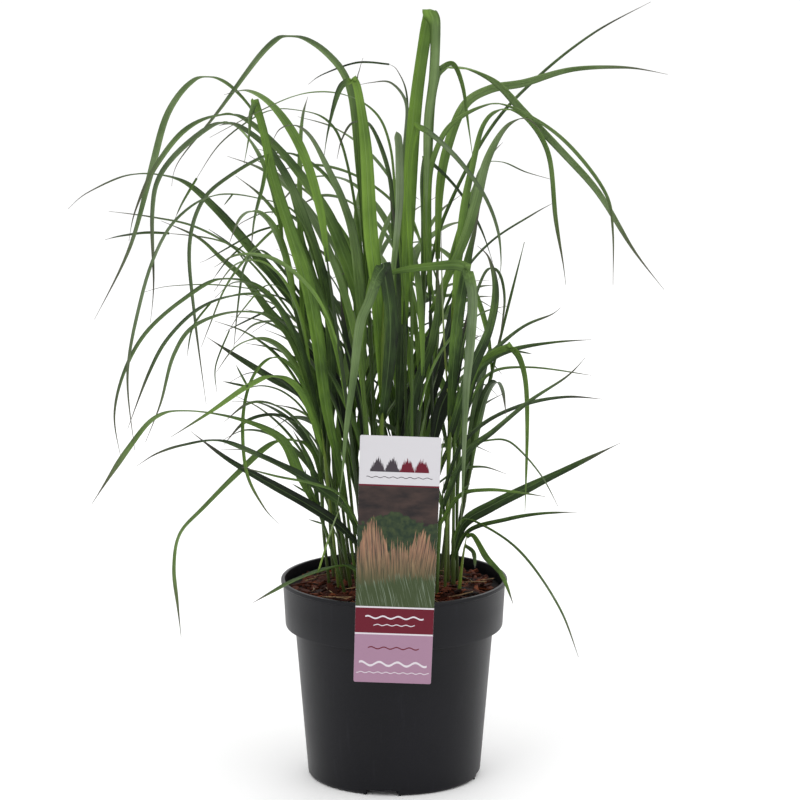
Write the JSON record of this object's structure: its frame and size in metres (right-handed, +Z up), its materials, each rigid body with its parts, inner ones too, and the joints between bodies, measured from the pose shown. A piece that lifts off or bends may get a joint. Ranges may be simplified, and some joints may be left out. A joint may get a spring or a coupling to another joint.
{
  "type": "potted feather reed grass",
  "caption": "Clump of tall upright grass with long arching leaves, in a round nursery pot with bark mulch and a printed plant label hooked over the rim.",
  "frame": {"origin": "middle of the pot's underside, on the surface it stands on", "axes": "+Z up the plant; -Y is the front, with the label; +X is to the right seen from the front"},
  "size_m": [0.5062, 0.3302, 0.6543],
  "materials": {
    "pot_plastic": "satin moulded charcoal plastic",
    "compost": "dark crumbly compost",
    "bark": "rough red-brown bark chips",
    "label_card": "smooth printed plastic card with a slight gloss",
    "leaf_mid": "thin green leaf with fine veins along it",
    "leaf_dark": "thin dark green leaf with fine veins along it",
    "leaf_bright": "thin yellow-green leaf with fine veins along it"
  },
  "bodies": {
    "root": {"pot": "pot_plastic", "compost": "compost", "bark_mulch": "bark", "plant_label": "label_card", "leafy_stem_01": "leaf_mid", "leafy_stem_02": "leaf_dark", "leafy_stem_03": "leaf_bright", "leafy_stem_04": "leaf_dark", "leafy_stem_05": "leaf_mid", "leafy_stem_06": "leaf_dark", "leafy_stem_07": "leaf_bright", "leafy_stem_08": "leaf_dark", "leafy_stem_09": "leaf_mid", "leafy_stem_10": "leaf_dark", "leafy_stem_11": "leaf_bright", "leafy_stem_12": "leaf_dark", "leafy_stem_13": "leaf_mid", "leafy_stem_14": "leaf_dark", "leafy_stem_15": "leaf_bright", "leafy_stem_16": "leaf_dark", "leafy_stem_17": "leaf_mid", "leafy_stem_18": "leaf_dark", "leafy_stem_19": "leaf_bright", "leafy_stem_20": "leaf_dark", "leafy_stem_21": "leaf_mid", "leafy_stem_22": "leaf_dark", "leafy_stem_23": "leaf_bright", "leafy_stem_24": "leaf_dark", "leafy_stem_25": "leaf_mid", "leafy_stem_26": "leaf_dark", "leafy_stem_27": "leaf_bright", "leafy_stem_28": "leaf_dark", "leafy_stem_29": "leaf_mid", "leafy_stem_30": "leaf_dark", "leafy_stem_31": "leaf_bright", "leafy_stem_32": "leaf_dark", "leafy_stem_33": "leaf_mid", "leafy_stem_34": "leaf_dark", "leafy_stem_35": "leaf_bright", "leafy_stem_36": "leaf_dark", "leafy_stem_37": "leaf_mid", "leafy_stem_38": "leaf_dark", "leafy_stem_39": "leaf_bright", "leafy_stem_40": "leaf_dark", "leafy_stem_41": "leaf_mid"}
  },
  "joints": []
}
